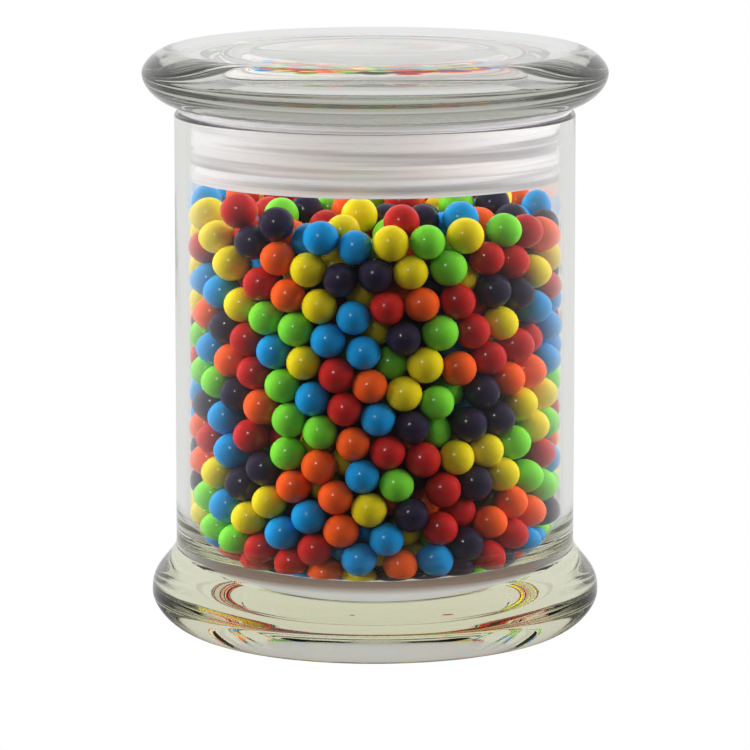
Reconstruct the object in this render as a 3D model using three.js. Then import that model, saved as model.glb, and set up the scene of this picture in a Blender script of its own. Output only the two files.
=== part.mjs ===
// A round glass candy jar with a heavy flared foot and a thick flat glass lid,
// sealed by a ribbed plastic ring and filled with small round jawbreakers.
// Millimetres, +Z up. The origin is the centre of the circle the foot stands on.
import * as THREE from "three";

const SEGMENTS = 40; // sides of every turned glass or plastic piece
const CLEARANCE = 0.35; // gap kept between neighbouring pieces

// Jar: a straight wall on a flared foot, and round inside at the bottom like a bowl.
const WALL_OUTER_RADIUS = 45.15;
const WALL_INNER_RADIUS = 42.4;
const RIM_HEIGHT = 118.1;
const RIM_ROUNDING = 0.5;
const FOOT_RADIUS = 50.7;
const FOOT_WIDEST_HEIGHT = 8.8;
const FLARE_TOP_HEIGHT = 20.6;
const FLARE_PULL = 4.4; // how far each end of the flare's S-curve stays upright
const FOOT_ROUNDING = 10.6; // how far the underside tucks in
const FOOT_ROUNDING_POWER = 1.7;
const FLOOR_HEIGHT = 6.0; // of the inside, at its lowest ring
const FLOOR_DOME = 2.3; // how far the middle of the floor rises above that ring
const FLOOR_CORNER_WIDTH = 21.2; // the curve from the inner wall to the floor
const FLOOR_CORNER_HEIGHT = 22.6;
const FLOOR_CORNER_STEPS = 6;
const PUNT_RADIUS = 30; // hollow under the foot, which leaves a flat ring to stand on
const PUNT_DEPTH = 1.7;

// Lid: a thick disc with a rounded edge, and a hollow skirt that enters the jar.
const LID_RADIUS = 52.5;
const LID_TOP_HEIGHT = 132.6;
const LID_WIDEST_HEIGHT = 127.2;
const LID_UNDERSIDE_HEIGHT = 119.5;
const LID_TOP_ROUNDING = 6.6;
const LID_TOP_POWER = 1.65;
const LID_LOWER_ROUNDING = 10.5;
const LID_LOWER_POWER = 1.86;
const SKIRT_OUTER_RADIUS = 38.4;
const SKIRT_INNER_RADIUS = 35.0;
const SKIRT_BOTTOM_HEIGHT = 106.0;
const SKIRT_ROUNDING = 1.2;
const RECESS_HEIGHT = 124.6; // ceiling of the hollow inside the skirt, at its edge
const RECESS_DROP = 2.4; // how far the ceiling hangs lower in its middle
const RECESS_CORNER_WIDTH = 6.8; // the curve from the ceiling to the skirt
const RECESS_CORNER_HEIGHT = 6.3;

// Seal: a sleeve round the skirt with ribs outside and a thin flange on the rim.
const SLEEVE_OUTER_RADIUS = 41.1;
const RIB_RADIUS = 41.95;
const RIB_COUNT = 4;
const RIB_PITCH = 4.0;
const RIB_THICKNESS = 2.6;
const SEAL_BOTTOM_HEIGHT = 103.8;
const SEAL_LIP_THICKNESS = 1.7;
const SEAL_LIP_INNER_RADIUS = 36.6;
const FLANGE_RADIUS = 44.3;

// Heap: jawbreakers packed against the wall in staggered rings, uneven on top.
const CANDY_DIAMETER = 7.8;
const HEAP_TOP_HEIGHT = 102.4;
const HEAP_TOP_DEPTH = 2.6; // how far the lowest hollow of the top lies below it
const CANDY_HOLLOW = 1.3; // depth of the hollows between candies at the wall
const COLUMNS_PER_CANDY = 2;
const HEAP_SEED = 7;

const point = (radius, height) => new THREE.Vector2(radius, height);

// A quarter of a superellipse, from (inner radius, end height) out to its widest
// point. Power 2 is an ellipse, and a lower power is a flatter bevel.
function roundedEdge(innerRadius, width, widestHeight, endHeight, power, steps) {
  const points = [];
  for (let i = 0; i <= steps; i++) {
    const angle = (Math.PI / 2) * (i / steps);
    const across = Math.sin(angle) ** (2 / power);
    const along = Math.cos(angle) ** (2 / power);
    points.push(
      point(
        innerRadius + width * across,
        widestHeight + (endHeight - widestHeight) * along,
      ),
    );
  }
  return points;
}

// The shallow dome of a floor, or drop of a ceiling, from the axis out to its edge.
function domed(edgeRadius, edgeHeight, rise, steps) {
  const points = [];
  for (let i = 0; i < steps; i++) {
    const share = i / steps;
    points.push(point(edgeRadius * share, edgeHeight + rise * (1 - share ** 2)));
  }
  return points;
}

// The inside of the jar's bottom, from the wall in to the axis, or the surface
// that lies a small gap inside it.
function bowl(gap) {
  const floor = FLOOR_HEIGHT + gap;
  const corner = roundedEdge(
    WALL_INNER_RADIUS - FLOOR_CORNER_WIDTH,
    FLOOR_CORNER_WIDTH - gap,
    FLOOR_HEIGHT + FLOOR_CORNER_HEIGHT,
    floor,
    2,
    FLOOR_CORNER_STEPS,
  );
  const middle = domed(WALL_INNER_RADIUS - FLOOR_CORNER_WIDTH, floor, FLOOR_DOME, 2);
  return [...middle, ...corner].reverse();
}

// A circular arc about (centreRadius, centreHeight), from one angle to another.
function arc(centreRadius, centreHeight, radius, from, to, steps) {
  const points = [];
  for (let i = 0; i <= steps; i++) {
    const angle = THREE.MathUtils.degToRad(from + ((to - from) * i) / steps);
    points.push(
      point(
        centreRadius + radius * Math.cos(angle),
        centreHeight + radius * Math.sin(angle),
      ),
    );
  }
  return points;
}

function turned(name, profile, material) {
  const mesh = new THREE.Mesh(new THREE.LatheGeometry(profile, SEGMENTS), material);
  mesh.name = name;
  mesh.rotation.x = Math.PI / 2;
  return mesh;
}

function jarProfile() {
  const puntSteps = 3;
  const punt = [];
  for (let i = 0; i <= puntSteps; i++) {
    const share = i / puntSteps;
    punt.push(
      point(
        PUNT_RADIUS * share,
        PUNT_DEPTH * Math.cos((Math.PI / 2) * share ** 1.7),
      ),
    );
  }
  const underside = roundedEdge(
    FOOT_RADIUS - FOOT_ROUNDING,
    FOOT_ROUNDING,
    FOOT_WIDEST_HEIGHT,
    0,
    FOOT_ROUNDING_POWER,
    5,
  );
  const flare = new THREE.CubicBezierCurve(
    point(FOOT_RADIUS, FOOT_WIDEST_HEIGHT),
    point(FOOT_RADIUS, FLARE_TOP_HEIGHT - FLARE_PULL),
    point(WALL_OUTER_RADIUS, FLARE_TOP_HEIGHT - FLARE_PULL),
    point(WALL_OUTER_RADIUS, FLARE_TOP_HEIGHT),
  )
    .getPoints(6)
    .slice(1);
  const rimHeight = RIM_HEIGHT - RIM_ROUNDING;
  const outerRim = arc(WALL_OUTER_RADIUS - RIM_ROUNDING, rimHeight, RIM_ROUNDING, 0, 90, 2);
  const innerRim = arc(WALL_INNER_RADIUS + RIM_ROUNDING, rimHeight, RIM_ROUNDING, 90, 180, 2);
  return [...punt, ...underside, ...flare, ...outerRim, ...innerRim, ...bowl(0)];
}

function lidProfile() {
  const ceilingRadius = SKIRT_INNER_RADIUS - RECESS_CORNER_WIDTH;
  const ceiling = domed(ceilingRadius, RECESS_HEIGHT, -RECESS_DROP, 2);
  const recess = roundedEdge(
    ceilingRadius,
    RECESS_CORNER_WIDTH,
    RECESS_HEIGHT - RECESS_CORNER_HEIGHT,
    RECESS_HEIGHT,
    2,
    3,
  );
  const skirtEnd = [
    ...arc(
      SKIRT_INNER_RADIUS + SKIRT_ROUNDING,
      SKIRT_BOTTOM_HEIGHT + SKIRT_ROUNDING,
      SKIRT_ROUNDING,
      180,
      270,
      2,
    ),
    ...arc(
      SKIRT_OUTER_RADIUS - SKIRT_ROUNDING,
      SKIRT_BOTTOM_HEIGHT + SKIRT_ROUNDING,
      SKIRT_ROUNDING,
      270,
      360,
      2,
    ),
  ];
  const lowerEdge = roundedEdge(
    LID_RADIUS - LID_LOWER_ROUNDING,
    LID_LOWER_ROUNDING,
    LID_WIDEST_HEIGHT,
    LID_UNDERSIDE_HEIGHT,
    LID_LOWER_POWER,
    5,
  );
  const upperEdge = roundedEdge(
    LID_RADIUS - LID_TOP_ROUNDING,
    LID_TOP_ROUNDING,
    LID_WIDEST_HEIGHT,
    LID_TOP_HEIGHT,
    LID_TOP_POWER,
    4,
  ).reverse();
  return [
    ...ceiling,
    ...recess,
    ...skirtEnd,
    point(SKIRT_OUTER_RADIUS, LID_UNDERSIDE_HEIGHT),
    ...lowerEdge,
    ...upperEdge.slice(1),
    point(0, LID_TOP_HEIGHT),
  ];
}

function sealProfile() {
  const innerRadius = SKIRT_OUTER_RADIUS + CLEARANCE;
  const lipTop = SEAL_BOTTOM_HEIGHT + SEAL_LIP_THICKNESS;
  const flangeBottom = RIM_HEIGHT + CLEARANCE;
  const flangeTop = LID_UNDERSIDE_HEIGHT - CLEARANCE;
  const ribs = [];
  for (let i = 0; i < RIB_COUNT; i++) {
    const bottom = SEAL_BOTTOM_HEIGHT + i * RIB_PITCH;
    ribs.push(
      point(SLEEVE_OUTER_RADIUS, bottom),
      point(RIB_RADIUS, bottom + RIB_THICKNESS * 0.2),
      point(RIB_RADIUS, bottom + RIB_THICKNESS * 0.6),
      point(SLEEVE_OUTER_RADIUS, bottom + RIB_THICKNESS),
    );
  }
  const loop = [
    point(SEAL_LIP_INNER_RADIUS, SEAL_BOTTOM_HEIGHT),
    ...ribs,
    point(SLEEVE_OUTER_RADIUS, flangeBottom),
    point(FLANGE_RADIUS, flangeBottom),
    point(FLANGE_RADIUS, flangeTop),
    point(innerRadius, flangeTop),
    point(innerRadius, lipTop),
    point(SEAL_LIP_INNER_RADIUS, lipTop),
  ];
  return [...loop, loop[0].clone()];
}

// Repeatable numbers from 0 to 1.
function randomNumbers(seed) {
  let state = seed;
  return () => {
    state = (state * 16807) % 2147483647;
    return state / 2147483647;
  };
}

// How far the heap's surface dips between candies: 0 on a candy, 1 in a hollow.
function hollowShare(row, column) {
  if (row % 2 === 1) return 0.55;
  return (column + row / 2) % 2;
}

// Ring by ring, from the middle of the floor up the wall to the middle of the top.
function heapRings(columns) {
  const radius = WALL_INNER_RADIUS - CLEARANCE;
  const rowHeight = (CANDY_DIAMETER * Math.sqrt(3)) / 4;
  const sideBottom = FLOOR_HEIGHT + FLOOR_CORNER_HEIGHT;
  const sideTop = HEAP_TOP_HEIGHT - CANDY_DIAMETER / 2;
  const rows = Math.round((sideTop - sideBottom) / rowHeight);
  const random = randomNumbers(HEAP_SEED);
  const rings = [];
  const level = (r, z) => Array.from({ length: columns }, () => [r, z]);

  for (const p of bowl(CLEARANCE).slice(1, -1).reverse()) rings.push(level(p.x, p.y));
  for (let row = 0; row <= rows; row++) {
    const height = sideBottom + ((sideTop - sideBottom) * row) / rows;
    rings.push(
      Array.from({ length: columns }, (_, column) => [
        radius - CANDY_HOLLOW * hollowShare(row, column),
        height,
      ]),
    );
  }
  const topRings = 6;
  for (let i = 0; i < topRings; i++) {
    const ringRadius = (radius - CANDY_DIAMETER / 4) * (1 - i / topRings);
    const coarse = Math.max(1, Math.round(i / 2));
    let depth = 0;
    rings.push(
      Array.from({ length: columns }, (_, column) => {
        if (column % coarse === 0) depth = random();
        return [ringRadius, HEAP_TOP_HEIGHT - HEAP_TOP_DEPTH * depth];
      }),
    );
  }
  return rings;
}

function heapGeometry() {
  const candiesRound = Math.round(
    (2 * Math.PI * (WALL_INNER_RADIUS - CANDY_DIAMETER / 2)) / CANDY_DIAMETER,
  );
  const columns = candiesRound * COLUMNS_PER_CANDY;
  const rings = heapRings(columns);
  const positions = [0, 0, FLOOR_HEIGHT + FLOOR_DOME + CLEARANCE];
  for (const ring of rings) {
    ring.forEach(([radius, height], column) => {
      const angle = (2 * Math.PI * column) / columns;
      positions.push(radius * Math.cos(angle), radius * Math.sin(angle), height);
    });
  }
  positions.push(0, 0, HEAP_TOP_HEIGHT - HEAP_TOP_DEPTH / 2);

  const indices = [];
  const vertex = (ring, column) => 1 + ring * columns + (column % columns);
  const last = positions.length / 3 - 1;
  for (let column = 0; column < columns; column++) {
    indices.push(0, vertex(0, column + 1), vertex(0, column));
    for (let ring = 0; ring < rings.length - 1; ring++) {
      const a = vertex(ring, column);
      const b = vertex(ring, column + 1);
      const c = vertex(ring + 1, column + 1);
      const d = vertex(ring + 1, column);
      indices.push(a, b, c, a, c, d);
    }
    indices.push(
      last,
      vertex(rings.length - 1, column),
      vertex(rings.length - 1, column + 1),
    );
  }
  const geometry = new THREE.BufferGeometry();
  geometry.setAttribute("position", new THREE.Float32BufferAttribute(positions, 3));
  geometry.setIndex(indices);
  geometry.computeVertexNormals();
  return geometry;
}

const glass = new THREE.MeshStandardMaterial({
  color: 0xe4ebe6,
  roughness: 0.02,
  metalness: 0,
  transparent: true,
  opacity: 0.35,
});
const seal = new THREE.MeshStandardMaterial({
  color: 0xe6e6e3,
  roughness: 0.35,
  metalness: 0,
  transparent: true,
  opacity: 0.7,
});
const candy = new THREE.MeshStandardMaterial({
  color: 0xd9401f,
  roughness: 0.15,
  metalness: 0,
});

const heap = new THREE.Mesh(heapGeometry(), candy);
heap.name = "jawbreakers";

const jarOfJawbreakers = new THREE.Group();
jarOfJawbreakers.add(
  turned("jar", jarProfile(), glass),
  turned("lid", lidProfile(), glass),
  turned("seal", sealProfile(), seal),
  heap,
);

export default jarOfJawbreakers;
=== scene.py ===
"""A round glass candy jar filled with small jawbreakers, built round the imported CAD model.

Everything is in metres and in the CAD model's frame: +Z up, the origin under the
foot's centre, and -Y towards the camera.
"""

import math

import bmesh
import bpy
import numpy as np
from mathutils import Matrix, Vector, noise


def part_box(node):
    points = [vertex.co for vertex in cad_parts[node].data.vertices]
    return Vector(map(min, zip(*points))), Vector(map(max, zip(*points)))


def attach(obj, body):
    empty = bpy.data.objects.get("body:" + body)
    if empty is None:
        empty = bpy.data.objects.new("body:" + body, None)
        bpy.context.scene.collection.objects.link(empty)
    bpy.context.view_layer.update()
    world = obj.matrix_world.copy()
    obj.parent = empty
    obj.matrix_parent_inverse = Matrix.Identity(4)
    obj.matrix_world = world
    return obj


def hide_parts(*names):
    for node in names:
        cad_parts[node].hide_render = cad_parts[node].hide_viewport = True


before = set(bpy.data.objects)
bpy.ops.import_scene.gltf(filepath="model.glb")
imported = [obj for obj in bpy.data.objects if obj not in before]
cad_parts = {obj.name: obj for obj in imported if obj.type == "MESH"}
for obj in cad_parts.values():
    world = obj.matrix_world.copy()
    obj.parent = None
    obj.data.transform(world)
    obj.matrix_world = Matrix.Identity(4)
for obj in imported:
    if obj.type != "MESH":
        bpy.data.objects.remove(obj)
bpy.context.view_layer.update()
_, JAR_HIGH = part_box("jar")
LID_LOW, LID_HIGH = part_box("lid")
SEAL_LOW, SEAL_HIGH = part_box("seal")
_, HEAP_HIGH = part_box("jawbreakers")

MM = 0.001
TINY = 1e-9

# The jar. The powers shape its superelliptic curves.
FOOT_RADIUS = JAR_HIGH.x
RIM_HEIGHT = JAR_HIGH.z
WALL_OUTER_RADIUS = 45.15 * MM
WALL_INNER_RADIUS = 42.4 * MM
RIM_ROUNDING = 0.5 * MM
FOOT_WIDEST_HEIGHT = 8.8 * MM
FOOT_ROUNDING = 10.6 * MM
FOOT_POWER = 1.66
FLARE_TOP_HEIGHT = 20.6 * MM
FLARE_LOWER_POWER = 1.85
FLARE_UPPER_POWER = 3.4
FLOOR_HEIGHT = 6.0 * MM  # at the lowest ring of the inner floor
FLOOR_DOME = 2.3 * MM  # the inner floor rises this much to its middle
FLOOR_CORNER = (21.2 * MM, 22.6 * MM)  # width and height of its rounded corner
FLOOR_CORNER_POWER = 1.97
PUNT_RADIUS = 30.0 * MM  # the hollow under the foot
PUNT_DEPTH = 1.7 * MM
PUNT_POWER = 1.73

# The lid, with the hollow skirt under it.
LID_RADIUS = LID_HIGH.x
LID_TOP_HEIGHT = LID_HIGH.z
LID_TOP_RINGS = (42 * MM, 30 * MM, 15 * MM, 0)
LID_WIDEST_HEIGHT = 127.2 * MM
LID_UNDERSIDE_HEIGHT = 119.5 * MM
LID_TOP_ROUNDING = 6.6 * MM
LID_TOP_POWER = 1.65
LID_LOWER_ROUNDING = 10.5 * MM
LID_LOWER_POWER = 1.86
SKIRT_BOTTOM_HEIGHT = LID_LOW.z
SKIRT_OUTER_RADIUS = 38.4 * MM
SKIRT_INNER_RADIUS = 35.0 * MM
SKIRT_ROUNDING = 1.2 * MM
SKIRT_FILLET = 1.0 * MM  # where it meets the lid's underside
RECESS_HEIGHT = 124.6 * MM  # the hollow under the lid, at its ceiling's edge
RECESS_DROP = 2.4 * MM  # the ceiling hangs lower in the middle
RECESS_CORNER = (6.8 * MM, 6.3 * MM)  # width and height of the ceiling's rounded edge
RECESS_CORNER_POWER = 2.1

# The seal: a ribbed sleeve, a lip under the skirt and a flange on the jar's rim.
SEAL_BOTTOM_HEIGHT = SEAL_LOW.z
SEAL_TOP_HEIGHT = SEAL_HIGH.z
SEAL_CHAMFER = 0.3 * MM
LIP_RADIUS = 36.6 * MM
LIP_THICKNESS = 1.7 * MM
FLANGE_RADIUS = SEAL_HIGH.x
FLANGE_GAP = 0.3 * MM  # between the flange and the jar's rim
SLEEVE_GAP = 0.3 * MM  # between the sleeve and the lid's skirt
SLEEVE_INNER_RADIUS = SKIRT_OUTER_RADIUS + SLEEVE_GAP
SLEEVE_OUTER_RADIUS = 41.1 * MM
SLEEVE_CHAMFER = (0.5 * MM, 0.8 * MM)  # width and height, at its top inner edge
RIB_RADIUS = 41.95 * MM
RIB_COUNT = 4
RIB_PITCH = 4.0 * MM
RIB_THICKNESS = 2.6 * MM
RIB_INSET = 0.35 * RIB_THICKNESS  # the centre of its rounded edges lies this far in
RIB_SETBACK = 0.02 * MM  # the ribs above the lowest start this much higher

# How fine and how uneven the turned pieces are.
SEGMENTS = 192
GLASS_WAVINESS = 0.06 * MM
CORE_WAVINESS = 1.5 * MM
WAVE_PITCH = 30 * MM
LEVEL_HEIGHT = 0.2 * MM  # points lower than this stay level, so that the jar stands flat

# Candies.
CANDY_DIAMETER = 7.75 * MM
CANDY_SPREAD = 0.03  # diameters vary by this share either way
CANDY_STRETCH = 0.018  # so does each axis of a candy
CANDY_CLEARANCE = 0.15 * MM  # to the glass
CANDY_COUNT = 1283
CANDY_PITCH = 1.12 * CANDY_DIAMETER  # of the loose layers, before they fall
LAYER_SHIFT = 0.3  # a layer is moved by up to this share of the pitch
CANDY_SHIFT = 0.06  # and each candy by this share
PAIR_REACH = 1.25 * CANDY_DIAMETER  # candies nearer than this may touch soon
SHOWN_DEPTH = 2.3 * CANDY_DIAMETER  # candies deeper in the heap aren't made
FINE_DEPTH = 0.75 * CANDY_DIAMETER  # candies deeper than this are coarser
CORE_DEPTH = 1.9 * CANDY_DIAMETER  # from the outside of the heap to its core
CORE_ROUNDING = 6 * MM
MOTTLE_DARK = 0.84  # the darkest of a candy's mottling, as a share of its colour
MOTTLE_LIGHT = 1.12  # the lightest, which also has this much added:
MOTTLE_LIFT = 0.004
FINE_SUBDIVISIONS = 4
COARSE_SUBDIVISIONS = 3
CANDY_COLOURS = {
    "red": (0.50, 0.012, 0.010),
    "orange": (0.92, 0.100, 0.008),
    "yellow": (0.80, 0.63, 0.004),
    "green": (0.185, 0.68, 0.034),
    "blue": (0.003, 0.28, 0.66),
    "purple": (0.020, 0.013, 0.038),
}

# How the candies settle.
SEED = 11
SETTLE_STEPS = 240
SETTLE_ROUNDS = 14
LAST_ROUNDS = 150
STEPS_BETWEEN_PAIR_SEARCHES = 3
TIME_STEP = 0.004
GRAVITY = 3.0
TOP_SPEED = 0.5
SPEED_KEPT = 0.97  # by a candy, from one step to the next

# The camera, in front of the jar and a little above it.
CAMERA_DISTANCE = 1.2318
CAMERA_HEIGHT = 0.2617
CAMERA_PITCH = 9.388  # degrees below the horizon
CAMERA_LENS = 264.3

# The studio. Its tones are (value, brightness) pairs, seen by all but the camera.
FLOOR_HALF_WIDTH = 6.0
FLOOR_DROP = 0.2 * MM  # the floor lies this far under the foot
FLOOR_TONES = [
    (-0.8, 0.04),
    (-0.4, 0.13),
    (0.0, 0.24),
    (0.5, 0.6),
    (0.75, 0.76),
]  # by the Y of the direction from the jar, from -1 in front to 1 behind
# Painted light and shadow on the floor: a bright pool under the jar, where light would come
# through the glass, and a darker brownish ring round the foot, for its shadow tinted by the
# candies.
NEAR_FLOOR_PAINTED_LIGHT_AND_SHADOW = [
    (0.034, 0.62),
    (0.039, (0.25, 0.18, 0.15)),
    (0.05, (0.2, 0.15, 0.12)),
    (0.065, 0.2),
    (0.12, 0.12),
    (0.25, 0.0),
]  # by the distance from the jar's axis, in metres
SWEEP_TONES = [(-0.6, 0.14), (-0.1, 0.4), (0.5, 0.89)]  # by the direction's Y
OVERHEAD_TONES = [(0.4, 0.0), (0.8, 0.36)]  # by the direction's Z
FLASH_PLACE = (-0.46, -1.15, 0.7)

# Sockets of a Mix node for colours, by number because their names repeat.
MIX_FACTOR, MIX_FIRST, MIX_SECOND, MIX_RESULT = 0, 6, 7, 2


# ---------------------------------------------------------------- profiles


def arc(centre_radius, centre_height, radius, start, end, steps):
    """Points of a circular arc in the (radius, height) plane, angles in degrees."""
    angles = np.radians(np.linspace(start, end, steps + 1))
    return [
        (centre_radius + radius * math.cos(a), centre_height + radius * math.sin(a))
        for a in angles
    ]


def rounded_edge(inner, width, widest_height, end_height, power, steps):
    """A quarter superellipse from (inner, end_height) out to the widest point."""
    points = []
    for a in np.linspace(0, math.pi / 2, steps + 1):
        across = math.sin(a) ** (2 / power)
        along = max(math.cos(a), 0) ** (2 / power)
        height = widest_height + (end_height - widest_height) * along
        points.append((inner + width * across, height))
    return points


def turned(name, profile, waviness=0.0, seed=0):
    """A solid of revolution. A profile that starts on the axis ends on it too;
    any other is a closed loop. Waviness moves the surface by up to that much."""
    vertices, faces, rings = [], [], []
    for radius, height in profile:
        if radius < TINY:
            rings.append([len(vertices)])
            vertices.append((0, 0, height))
            continue
        rings.append(list(range(len(vertices), len(vertices) + SEGMENTS)))
        for k in range(SEGMENTS):
            angle = 2 * math.pi * k / SEGMENTS
            vertices.append((radius * math.cos(angle), radius * math.sin(angle), height))
    is_loop = profile[0][0] > TINY
    following = rings[1:] + rings[:1] if is_loop else rings[1:]
    for low, high in zip(rings, following):
        for k in range(SEGMENTS):
            after = (k + 1) % SEGMENTS
            if len(low) == 1:
                faces.append((low[0], high[after], high[k]))
            elif len(high) == 1:
                faces.append((low[k], low[after], high[0]))
            else:
                faces.append((low[k], low[after], high[after], high[k]))
    mesh = bpy.data.meshes.new(name)
    mesh.from_pydata(vertices, [], faces)
    mesh.validate()
    if waviness:
        ripple(mesh, waviness, seed)
    mesh.shade_smooth()
    piece = placed(name, mesh)
    weigh = piece.modifiers.new("weighted_normals", "WEIGHTED_NORMAL")
    weigh.weight = 60
    return piece


def placed(name, data):
    """A new object in the scene."""
    thing = bpy.data.objects.new(name, data)
    bpy.context.scene.collection.objects.link(thing)
    return thing


def ripple(mesh, depth, seed):
    """Slow unevenness, as of pressed glass: each point above the table moves a little
    along its normal. Each seed gives other waves."""
    offset = Vector((seed * 7.3, seed * 3.1, seed * 5.7))
    raised = [v for v in mesh.vertices if v.co.z > LEVEL_HEIGHT]
    moves = [v.normal * noise.noise(v.co / WAVE_PITCH + offset) * depth for v in raised]
    for v, move in zip(raised, moves):
        v.co += move


# ---------------------------------------------------------------- node helpers


def material(name, settings):
    """A material whose Principled shader has the given sockets set."""
    made = bpy.data.materials.new(name)
    made.use_nodes = True
    shader = made.node_tree.nodes["Principled BSDF"]
    for socket, value in settings.items():
        shader.inputs[socket].default_value = value
    return made, made.node_tree, shader


def add(tree, kind, **settings):
    """A node, with its properties or input sockets set."""
    node = tree.nodes.new(kind)
    for key, value in settings.items():
        if key in node.inputs:
            node.inputs[key].default_value = value
        else:
            setattr(node, key, value)
    return node


def noise_bump(tree, shader, scale, strength, distance, detail=2.0):
    """Fine relief from a noise in the object's own coordinates, which it returns."""
    coordinates = add(tree, "ShaderNodeTexCoord").outputs["Object"]
    texture = add(tree, "ShaderNodeTexNoise", Scale=scale, Detail=detail)
    bump = add(tree, "ShaderNodeBump", Strength=strength, Distance=distance)
    tree.links.new(coordinates, texture.inputs["Vector"])
    tree.links.new(texture.outputs["Fac"], bump.inputs["Height"])
    tree.links.new(bump.outputs["Normal"], shader.inputs["Normal"])
    return coordinates


# ---------------------------------------------------------------- materials


def glass_material(name, tint, density):
    """Clear glass whose thick parts take on a tint."""
    made, tree, shader = material(
        name,
        {
            "Base Color": (0.985, 0.992, 0.985, 1),
            "Roughness": 0.0,
            "IOR": 1.5,
            "Transmission Weight": 1.0,
        },
    )
    noise_bump(tree, shader, scale=45, strength=0.12, distance=0.4 * MM)
    absorption = add(tree, "ShaderNodeVolumeAbsorption", Color=(*tint, 1), Density=density)
    output = tree.nodes["Material Output"]
    tree.links.new(absorption.outputs["Volume"], output.inputs["Volume"])
    return made


def seal_material():
    """Soft translucent plastic, with painted shade: darker horizontal streaks that stand in for
    the shade in the grooves between its ribs.
    """
    made, tree, shader = material(
        "soft_seal", {"Roughness": 0.6, "IOR": 1.3, "Transmission Weight": 0.7}
    )
    coordinates = noise_bump(tree, shader, scale=300, strength=0.15, distance=0.2 * MM)
    # Painted shade: noise stretched into thin horizontal streaks darkens the colour towards 0.5,
    # standing in for the shade in the grooves between the ribs.
    stretched = add(tree, "ShaderNodeMapping", Scale=(14, 14, 700))
    painted_groove_shade = add(tree, "ShaderNodeTexNoise", Scale=1.0, Detail=1.0)
    tone = add(tree, "ShaderNodeValToRGB")
    dark, light = tone.color_ramp.elements
    dark.position = 0.31
    dark.color = (0.5, 0.49, 0.5, 1)
    light.position = 0.54
    light.color = (0.9, 0.885, 0.9, 1)
    tree.links.new(coordinates, stretched.inputs["Vector"])
    tree.links.new(stretched.outputs["Vector"], painted_groove_shade.inputs["Vector"])
    tree.links.new(painted_groove_shade.outputs["Fac"], tone.inputs["Fac"])
    tree.links.new(tone.outputs["Color"], shader.inputs["Base Color"])
    return made


def candy_material(name, colour):
    """A polished sugar shell: slightly mottled colour under a clear gloss."""
    made, tree, shader = material(
        name,
        {
            "Roughness": 0.5,
            "IOR": 1.48,
            "Specular IOR Level": 0.1,
            "Coat Weight": 0.6,
            "Coat Roughness": 0.16,
        },
    )
    coordinates = noise_bump(
        tree, shader, scale=160, strength=0.06, distance=0.3 * MM, detail=1.0
    )
    mottling = add(tree, "ShaderNodeTexNoise", Scale=190, Detail=4.0)
    mix = add(tree, "ShaderNodeMix", data_type="RGBA")
    dark = tuple(c * MOTTLE_DARK for c in colour)
    light = tuple(min(1, c * MOTTLE_LIGHT + MOTTLE_LIFT) for c in colour)
    mix.inputs[MIX_FIRST].default_value = (*dark, 1)
    mix.inputs[MIX_SECOND].default_value = (*light, 1)
    tree.links.new(coordinates, mottling.inputs["Vector"])
    tree.links.new(mottling.outputs["Fac"], mix.inputs[MIX_FACTOR])
    tree.links.new(mix.outputs[MIX_RESULT], shader.inputs["Base Color"])
    return made


# ---------------------------------------------------------------- glass and seal


def floor_profile():
    """The inside of the jar's bottom, from the wall in to the axis."""
    width, height = FLOOR_CORNER
    edge = WALL_INNER_RADIUS - width
    corner = rounded_edge(
        edge, width, FLOOR_HEIGHT + height, FLOOR_HEIGHT, FLOOR_CORNER_POWER, steps=40
    )
    middle = [
        (edge * s, FLOOR_HEIGHT + FLOOR_DOME * (1 - s * s)) for s in np.linspace(1, 0, 8)[1:]
    ]
    return corner[::-1] + middle


def jar_profile():
    """From the axis under the foot, up the outside and down the inside to the axis."""
    punt = [
        (PUNT_RADIUS * s, PUNT_DEPTH * math.cos(math.pi / 2 * s**PUNT_POWER))
        for s in np.linspace(0, 1, 13)
    ]
    underside = rounded_edge(
        FOOT_RADIUS - FOOT_ROUNDING, FOOT_ROUNDING, FOOT_WIDEST_HEIGHT, 0, FOOT_POWER, steps=20
    )
    flare = []
    for t in np.linspace(1, 0, 25)[1:]:
        height = FLARE_TOP_HEIGHT + (FOOT_WIDEST_HEIGHT - FLARE_TOP_HEIGHT) * t
        share = 1 - (1 - t**FLARE_LOWER_POWER) ** FLARE_UPPER_POWER
        flare.append((WALL_OUTER_RADIUS + (FOOT_RADIUS - WALL_OUTER_RADIUS) * share, height))
    rim_height = RIM_HEIGHT - RIM_ROUNDING
    outer_heights = np.linspace(FLARE_TOP_HEIGHT, rim_height, 22)[1:-1]
    outer_wall = [(WALL_OUTER_RADIUS, h) for h in outer_heights]
    outer_rim = arc(WALL_OUTER_RADIUS - RIM_ROUNDING, rim_height, RIM_ROUNDING, 0, 90, 8)
    inner_rim = arc(WALL_INNER_RADIUS + RIM_ROUNDING, rim_height, RIM_ROUNDING, 90, 180, 8)
    inner_heights = np.linspace(rim_height, FLOOR_HEIGHT + FLOOR_CORNER[1], 22)[1:-1]
    inner_wall = [(WALL_INNER_RADIUS, h) for h in inner_heights]
    outside = punt + underside + flare + outer_wall + outer_rim
    return outside + inner_rim + inner_wall + floor_profile()


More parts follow.
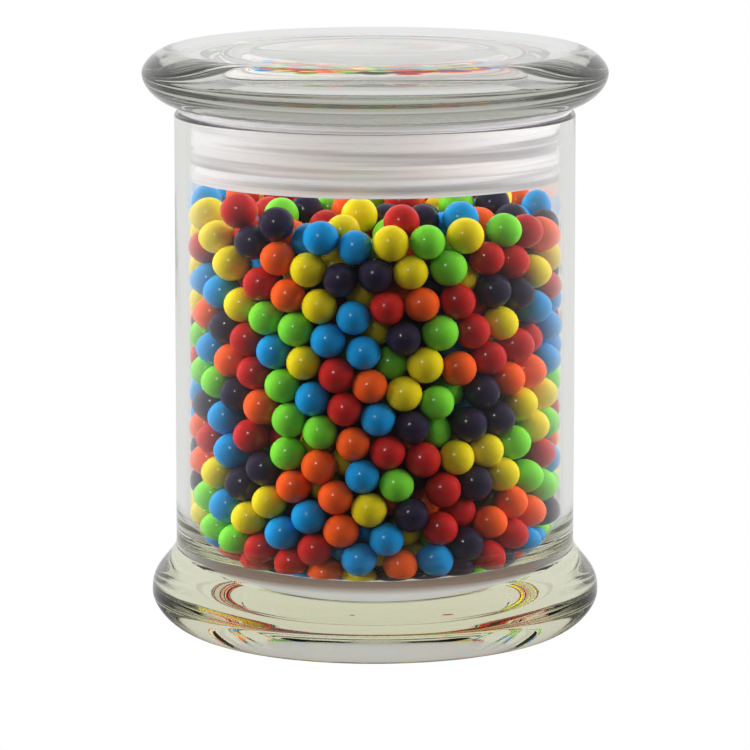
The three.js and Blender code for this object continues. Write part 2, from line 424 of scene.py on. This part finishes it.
def lid_profile():
    """From the axis out along the recess's ceiling, down the skirt, and over the top."""
    width, height = RECESS_CORNER
    edge = SKIRT_INNER_RADIUS - width
    ceiling = [
        (edge * s, RECESS_HEIGHT - RECESS_DROP * (1 - s * s)) for s in np.linspace(0, 1, 10)
    ]
    corner_bottom = RECESS_HEIGHT - height
    recess = rounded_edge(
        edge, width, corner_bottom, RECESS_HEIGHT, RECESS_CORNER_POWER, steps=24
    )[1:]
    low = SKIRT_BOTTOM_HEIGHT + SKIRT_ROUNDING
    recess += [(SKIRT_INNER_RADIUS, h) for h in np.linspace(corner_bottom, low, 5)[1:-1]]
    skirt_end = arc(SKIRT_INNER_RADIUS + SKIRT_ROUNDING, low, SKIRT_ROUNDING, 180, 270, 6)
    skirt_end += arc(SKIRT_OUTER_RADIUS - SKIRT_ROUNDING, low, SKIRT_ROUNDING, 270, 360, 6)
    fillet = arc(
        SKIRT_OUTER_RADIUS + SKIRT_FILLET,
        LID_UNDERSIDE_HEIGHT - SKIRT_FILLET,
        SKIRT_FILLET,
        180,
        90,
        6,
    )
    lower = rounded_edge(
        LID_RADIUS - LID_LOWER_ROUNDING,
        LID_LOWER_ROUNDING,
        LID_WIDEST_HEIGHT,
        LID_UNDERSIDE_HEIGHT,
        LID_LOWER_POWER,
        steps=20,
    )
    upper = rounded_edge(
        LID_RADIUS - LID_TOP_ROUNDING,
        LID_TOP_ROUNDING,
        LID_WIDEST_HEIGHT,
        LID_TOP_HEIGHT,
        LID_TOP_POWER,
        steps=20,
    )[::-1]
    top = [(radius, LID_TOP_HEIGHT) for radius in LID_TOP_RINGS]
    return ceiling + recess + skirt_end + fillet + lower + upper[1:] + top


def seal_profile():
    """From the lip up the ribbed outside, over the flange and down the inside."""
    flange_bottom = RIM_HEIGHT + FLANGE_GAP
    lip_top = SEAL_BOTTOM_HEIGHT + LIP_THICKNESS
    points = [
        (LIP_RADIUS, SEAL_BOTTOM_HEIGHT + SEAL_CHAMFER),
        (LIP_RADIUS + SEAL_CHAMFER, SEAL_BOTTOM_HEIGHT),
    ]
    for i in range(RIB_COUNT):
        bottom = SEAL_BOTTOM_HEIGHT + i * RIB_PITCH
        round_height = bottom + RIB_THICKNESS / 2
        rib = arc(RIB_RADIUS - RIB_INSET, round_height, RIB_THICKNESS / 2, -80, 80, 8)
        points.append((SLEEVE_OUTER_RADIUS, bottom + RIB_SETBACK if i else bottom))
        points += [(radius, height) for radius, height in rib if radius <= RIB_RADIUS]
        points.append((SLEEVE_OUTER_RADIUS, bottom + RIB_THICKNESS))
    points += [
        (SLEEVE_OUTER_RADIUS, flange_bottom),
        (FLANGE_RADIUS - SEAL_CHAMFER, flange_bottom),
        (FLANGE_RADIUS, (flange_bottom + SEAL_TOP_HEIGHT) / 2),
        (FLANGE_RADIUS - SEAL_CHAMFER, SEAL_TOP_HEIGHT),
        (SLEEVE_INNER_RADIUS + SLEEVE_CHAMFER[0], SEAL_TOP_HEIGHT),
        (SLEEVE_INNER_RADIUS, SEAL_TOP_HEIGHT - SLEEVE_CHAMFER[1]),
        (SLEEVE_INNER_RADIUS, lip_top),
        (LIP_RADIUS, lip_top),
    ]
    return points


# ---------------------------------------------------------------- candies


def close_pairs(centres):
    """Indices of the pairs of candies that are near enough to touch soon."""
    squared = np.zeros((len(centres), len(centres)))
    for axis in range(3):
        squared += (centres[:, axis][:, None] - centres[:, axis][None, :]) ** 2
    return np.nonzero(np.triu(squared < PAIR_REACH * PAIR_REACH, 1))


def resting_heights():
    """Radii from the axis, how high a candy's centre rests at each on the floor, and
    how steeply that rises."""
    reach = CANDY_DIAMETER / 2 + CANDY_CLEARANCE
    edge_radii, edge_heights = np.array(floor_profile()).T
    radii = np.linspace(0, WALL_INNER_RADIUS - reach, 80)
    across = radii[:, None] - edge_radii[None, :]
    rise = np.sqrt(np.maximum(reach**2 - across**2, 0))
    heights = np.where(np.abs(across) < reach, edge_heights + rise, 0).max(axis=1)
    return radii, heights, np.gradient(heights, radii)


def keep_inside(centres, radii, rest):
    """Moves centres back inside the jar's wall and off its floor."""
    out = np.hypot(centres[:, 0], centres[:, 1]) + TINY
    limit = WALL_INNER_RADIUS - radii - CANDY_CLEARANCE
    centres[:, :2] *= np.where(out > limit, limit / out, 1)[:, None]
    out = np.minimum(out, limit)
    rest_radii, rest_heights, rest_slopes = rest
    lowest = np.interp(out, rest_radii, rest_heights) + radii - CANDY_DIAMETER / 2
    slope = np.interp(out, rest_radii, rest_slopes)
    lift = np.maximum(lowest - centres[:, 2], 0) / (1 + slope**2)
    centres[:, :2] *= (1 - lift * slope / out)[:, None]
    centres[:, 2] += lift


def push_apart(centres, radii, pairs, rounds, rest):
    """Shares out each overlap between its two candies, over and over."""
    first, second = pairs
    touching = radii[first] + radii[second]
    count = len(centres)
    for _ in range(rounds):
        gap = centres[second] - centres[first]
        distance = np.sqrt((gap * gap).sum(1)) + TINY
        overlap = np.maximum(touching - distance, 0)
        contacts = np.bincount(first, overlap > 0, count)
        contacts += np.bincount(second, overlap > 0, count)
        push = gap * (0.5 * overlap / distance)[:, None]
        for axis in range(3):
            moved = np.bincount(second, push[:, axis], count)
            moved -= np.bincount(first, push[:, axis], count)
            centres[:, axis] += moved / np.sqrt(np.maximum(contacts, 1))
        keep_inside(centres, radii, rest)


def stacked_centres(rng):
    """Centres of the candies before they fall, in loose layers one above another."""
    span = np.arange(-6, 7) * CANDY_PITCH
    layer = np.array([(x, y) for x in span for y in span])
    layer = layer[np.hypot(layer[:, 0], layer[:, 1]) < WALL_INNER_RADIUS - CANDY_PITCH]
    layers = math.ceil(CANDY_COUNT / len(layer))
    centres = np.empty((layers * len(layer), 3))
    for i in range(layers):
        part = slice(i * len(layer), (i + 1) * len(layer))
        centres[part, :2] = layer + rng.uniform(-LAYER_SHIFT, LAYER_SHIFT, 2) * CANDY_PITCH
        centres[part, 2] = FLOOR_HEIGHT + CANDY_PITCH * (i + 1)
    shift = rng.uniform(-CANDY_SHIFT, CANDY_SHIFT, (CANDY_COUNT, 3)) * CANDY_PITCH
    return centres[:CANDY_COUNT] + shift


def poured_candies(rng):
    """Centres and radii of the candies after they have fallen into the jar."""
    radii = CANDY_DIAMETER / 2 * (1 + CANDY_SPREAD * rng.uniform(-1, 1, CANDY_COUNT))
    centres = stacked_centres(rng)
    rest = resting_heights()
    velocity = np.zeros_like(centres)
    for step in range(SETTLE_STEPS):
        if step % STEPS_BETWEEN_PAIR_SEARCHES == 0:
            pairs = close_pairs(centres)
        before = centres.copy()
        velocity[:, 2] -= GRAVITY * TIME_STEP
        centres += velocity * TIME_STEP
        push_apart(centres, radii, pairs, SETTLE_ROUNDS, rest)
        velocity = (centres - before) / TIME_STEP * SPEED_KEPT
        speed = np.sqrt((velocity * velocity).sum(1)) + TINY
        velocity *= np.minimum(1, TOP_SPEED / speed)[:, None]
    push_apart(centres, radii, close_pairs(centres), LAST_ROUNDS, rest)
    return centres, radii


def unit_sphere(subdivisions):
    """Vertices and faces of an icosphere of radius 1."""
    ball = bmesh.new()
    bmesh.ops.create_icosphere(ball, subdivisions=subdivisions, radius=1.0)
    vertices = np.array([v.co[:] for v in ball.verts])
    faces = np.array([[v.index for v in f.verts] for f in ball.faces])
    ball.free()
    return vertices, faces


def candy_piece(name, centres, radii, fine, rng):
    """One joined mesh of every candy of a colour, each a little out of round."""
    fine_ball = unit_sphere(FINE_SUBDIVISIONS)
    coarse_ball = unit_sphere(COARSE_SUBDIVISIONS)
    vertices, faces, start = [], [], 0
    for centre, radius, is_fine in zip(centres, radii, fine):
        ball, ball_faces = fine_ball if is_fine else coarse_ball
        stretch = 1 + rng.uniform(-CANDY_STRETCH, CANDY_STRETCH, 3)
        turn, tilt = rng.uniform(0, 2 * math.pi, 2)
        x, y, z = (ball * stretch * radius).T
        x, y = x * math.cos(turn) - y * math.sin(turn), x * math.sin(turn) + y * math.cos(turn)
        y, z = y * math.cos(tilt) - z * math.sin(tilt), y * math.sin(tilt) + z * math.cos(tilt)
        vertices.append(np.stack([x, y, z], 1) + centre)
        faces.append(ball_faces + start)
        start += len(ball)
    mesh = bpy.data.meshes.new(name)
    mesh.from_pydata(np.concatenate(vertices).tolist(), [], np.concatenate(faces).tolist())
    mesh.shade_smooth()
    return placed(name, mesh)


def make_candies():
    """The candies near enough to the heap's outside to be seen, one piece a colour."""
    rng = np.random.default_rng(SEED)
    centres, radii = poured_candies(rng)
    hue = rng.permutation(np.arange(CANDY_COUNT) % len(CANDY_COLOURS))
    out = np.hypot(centres[:, 0], centres[:, 1])
    rest_radii, rest_heights, _ = resting_heights()
    from_wall = WALL_INNER_RADIUS - out
    from_floor = centres[:, 2] - np.interp(out, rest_radii, rest_heights)
    from_top = centres[:, 2].max() - centres[:, 2]
    depth = np.minimum(np.minimum(from_wall, from_floor), from_top)
    shown = depth < SHOWN_DEPTH
    fine = depth < FINE_DEPTH
    pieces = []
    for index, (name, colour) in enumerate(CANDY_COLOURS.items()):
        chosen = shown & (hue == index)
        piece = candy_piece(f"candies_{name}", centres[chosen], radii[chosen], fine[chosen], rng)
        piece.data.materials.append(candy_material(f"{name}_candy", colour))
        pieces.append(piece)
    return pieces


def core_piece():
    """The unseen middle of the heap, two candies in from every side, coloured near black as
    painted shade.
    """
    radius = WALL_INNER_RADIUS - CORE_DEPTH
    low = FLOOR_HEIGHT + CORE_DEPTH
    high = HEAP_HIGH.z - CORE_DEPTH
    edge = radius - CORE_ROUNDING
    profile = [(0, low)]
    profile += arc(edge, low + CORE_ROUNDING, CORE_ROUNDING, -90, 0, 6)
    profile += arc(edge, high - CORE_ROUNDING, CORE_ROUNDING, 0, 90, 6)
    profile += [(0, high)]
    piece = turned("candies_core", profile, waviness=CORE_WAVINESS, seed=5)
    # Painted shade: the core is coloured near black, for the shade deep in the heap.
    made, tree, shader = material(
        "unlit_middle", {"Base Color": (0.03, 0.012, 0.012, 1), "Roughness": 0.8}
    )
    noise_bump(tree, shader, scale=160, strength=0.5, distance=1 * MM)
    piece.data.materials.append(made)
    return piece


# ---------------------------------------------------------------- studio


def mapped(tree, source, stops):
    """A colour ramp on a value from -1 to 1. stops are (value, brightness) pairs."""
    spread = add(tree, "ShaderNodeMapRange")
    spread.inputs["From Min"].default_value = -1
    tree.links.new(source, spread.inputs["Value"])
    ramp = add(tree, "ShaderNodeValToRGB")
    while len(ramp.color_ramp.elements) < len(stops):
        ramp.color_ramp.elements.new(0.5)
    for element, (value, brightness) in zip(ramp.color_ramp.elements, stops):
        element.position = (value + 1) / 2
        element.color = (*np.broadcast_to(brightness, 3), 1)
    tree.links.new(spread.outputs["Result"], ramp.inputs["Fac"])
    return ramp.outputs["Color"]


def lighter_of(tree, first, second):
    """The lighter of two colours."""
    mix = add(tree, "ShaderNodeMix", data_type="RGBA", blend_type="LIGHTEN")
    mix.inputs[MIX_FACTOR].default_value = 1.0
    tree.links.new(first, mix.inputs[MIX_FIRST])
    tree.links.new(second, mix.inputs[MIX_SECOND])
    return mix.outputs[MIX_RESULT]


def depth_behind(tree, across, bounces, limit):
    """How far behind the jar a direction points, from its Y. Rays that came through
    glass with fewer bounces than the limit see the front as they do the back, so that
    the glass is as clear from behind."""
    path = add(tree, "ShaderNodeLightPath")
    few_bounces = add(tree, "ShaderNodeMath", operation="LESS_THAN")
    few_bounces.inputs[1].default_value = limit
    tree.links.new(path.outputs[bounces], few_bounces.inputs[0])
    through_glass = add(tree, "ShaderNodeMath", operation="MULTIPLY")
    tree.links.new(few_bounces.outputs["Value"], through_glass.inputs[0])
    tree.links.new(path.outputs["Is Transmission Ray"], through_glass.inputs[1])
    either_way = add(tree, "ShaderNodeMath", operation="ABSOLUTE")
    tree.links.new(across, either_way.inputs[0])
    chosen = add(tree, "ShaderNodeMix", data_type="FLOAT")
    tree.links.new(through_glass.outputs["Value"], chosen.inputs["Factor"])
    tree.links.new(across, chosen.inputs["A"])
    tree.links.new(either_way.outputs["Value"], chosen.inputs["B"])
    return chosen.outputs["Result"]


def white_to_camera(tree, shader, white, output):
    """The camera sees plain white here, and everything else sees the shader."""
    path = add(tree, "ShaderNodeLightPath")
    mix = add(tree, "ShaderNodeMixShader")
    tree.links.new(path.outputs["Is Camera Ray"], mix.inputs["Fac"])
    tree.links.new(shader, mix.inputs[1])
    tree.links.new(white, mix.inputs[2])
    tree.links.new(mix.outputs["Shader"], output)


def make_floor():
    """A white table that glows instead of being lit, so its tones are painted light. In the
    glass it falls off into the dark in front of the jar, with a painted pool of light under the
    jar and a painted brownish shadow round the foot.
    """
    half = FLOOR_HALF_WIDTH
    corners = [(-half, -half, 0), (half, -half, 0), (half, half, 0), (-half, half, 0)]
    mesh = bpy.data.meshes.new("floor")
    mesh.from_pydata(corners, [], [(0, 1, 2, 3)])
    floor = placed("floor", mesh)
    floor.location.z = -FLOOR_DROP
    made, tree, _ = material("white_floor", {})
    place = add(tree, "ShaderNodeTexCoord").outputs["Object"]
    direction = add(tree, "ShaderNodeVectorMath", operation="NORMALIZE")
    tree.links.new(place, direction.inputs[0])
    split = add(tree, "ShaderNodeSeparateXYZ")
    tree.links.new(direction.outputs["Vector"], split.inputs["Vector"])
    distance = add(tree, "ShaderNodeVectorMath", operation="LENGTH")
    tree.links.new(place, distance.inputs[0])
    behind = depth_behind(tree, split.outputs["Y"], "Glossy Depth", 0.5)
    around = mapped(tree, behind, FLOOR_TONES)
    # painted light and shadow round the jar's foot
    near = mapped(tree, distance.outputs["Value"], NEAR_FLOOR_PAINTED_LIGHT_AND_SHADOW)
    lit = add(tree, "ShaderNodeEmission", Strength=1.0)
    tree.links.new(lighter_of(tree, around, near), lit.inputs["Color"])
    white = add(tree, "ShaderNodeEmission", Color=(1, 1, 1, 1), Strength=1.0)
    white_to_camera(
        tree,
        lit.outputs["Emission"],
        white.outputs["Emission"],
        tree.nodes["Material Output"].inputs["Surface"],
    )
    made.cycles.emission_sampling = "NONE"
    floor.data.materials.append(made)


def make_world():
    """A white backdrop. In the glass it is bright behind the jar and above it, and
    dark in front."""
    world = bpy.data.worlds.new("studio")
    bpy.context.scene.world = world
    world.use_nodes = True
    world.cycles.sampling_method = "NONE"
    tree = world.node_tree
    studio = tree.nodes["Background"]
    coordinates = add(tree, "ShaderNodeTexCoord")
    split = add(tree, "ShaderNodeSeparateXYZ")
    tree.links.new(coordinates.outputs["Generated"], split.inputs["Vector"])
    behind = depth_behind(tree, split.outputs["Y"], "Transmission Depth", 2.5)
    around = mapped(tree, behind, SWEEP_TONES)
    above = mapped(tree, split.outputs["Z"], OVERHEAD_TONES)
    tree.links.new(lighter_of(tree, around, above), studio.inputs["Color"])
    white = add(tree, "ShaderNodeBackground", Color=(1, 1, 1, 1), Strength=1.0)
    white_to_camera(
        tree,
        studio.outputs["Background"],
        white.outputs["Background"],
        tree.nodes["World Output"].inputs["Surface"],
    )


def softbox(name, place, size, power, lit, glint=False):
    """A square lamp aimed at the jar, for the pieces in lit alone. A glint gives only
    highlights, and any other lamp gives none."""
    data = bpy.data.lights.new(name, "AREA")
    data.shape = "SQUARE"
    data.size = size
    data.energy = power
    data.cycles.use_multiple_importance_sampling = False  # no glints in the smooth glass
    light = placed(name, data)
    light.location = place
    aim = Vector((0, 0, RIM_HEIGHT / 2)) - Vector(place)
    light.rotation_euler = aim.to_track_quat("-Z", "Y").to_euler()
    light.visible_camera = False
    light.visible_transmission = False
    light.visible_glossy = glint
    light.visible_diffuse = not glint
    receivers = bpy.data.collections.new(f"lit_by_{name}")
    for piece in lit:
        receivers.objects.link(piece)
    light.light_linking.receiver_collection = receivers


def make_camera():
    """A long lens that looks slightly down on the jar."""
    data = bpy.data.cameras.new("camera")
    data.lens = CAMERA_LENS
    camera = placed("camera", data)
    camera.location = (0, -CAMERA_DISTANCE, CAMERA_HEIGHT)
    camera.rotation_euler = (math.radians(90 - CAMERA_PITCH), 0, 0)
    bpy.context.scene.camera = camera


make_camera()
make_world()
make_floor()

jar = turned("jar_glass", jar_profile(), waviness=GLASS_WAVINESS, seed=1)
jar.data.materials.append(glass_material("jar_glass", tint=(0.86, 0.86, 0.73), density=24))
lid = turned("lid_glass", lid_profile(), waviness=GLASS_WAVINESS, seed=2)
lid.data.materials.append(glass_material("lid_glass", tint=(0.42, 0.43, 0.33), density=10))
seal = turned("ribbed_seal", seal_profile())
seal.data.materials.append(seal_material())
heap = [core_piece(), *make_candies()]

for piece, node, slot in [(jar, "jar", "glass"), (lid, "lid", "glass"), (seal, "seal", "seal")]:
    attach(piece, "root")
    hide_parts(node)
    piece.visible_shadow = False
for piece in (jar, lid):
    piece.visible_diffuse = False
for piece in heap:
    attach(piece, "root")
    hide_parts("jawbreakers")

softbox("left_heap_light", place=(-1.1, 0.32, 0.15), size=1.8, power=78.0, lit=heap)
softbox("right_heap_light", place=(1.1, 0.32, 0.15), size=1.8, power=62.0, lit=heap)
softbox("left_seal_light", place=(-1.0, -0.2, 0.3), size=1.3, power=24.0, lit=[seal])
softbox("right_seal_light", place=(1.0, -0.2, 0.3), size=1.3, power=39.0, lit=[seal])
softbox("flash", place=FLASH_PLACE, size=0.3, power=1.2, lit=[seal, *heap])
softbox("flash_glint", place=FLASH_PLACE, size=0.24, power=3.4, lit=heap, glint=True)

scene = bpy.context.scene
scene.view_settings.view_transform = "Standard"
scene.cycles.max_bounces = 24
scene.cycles.transmission_bounces = 20
scene.cycles.glossy_bounces = 8
scene.cycles.diffuse_bounces = 4
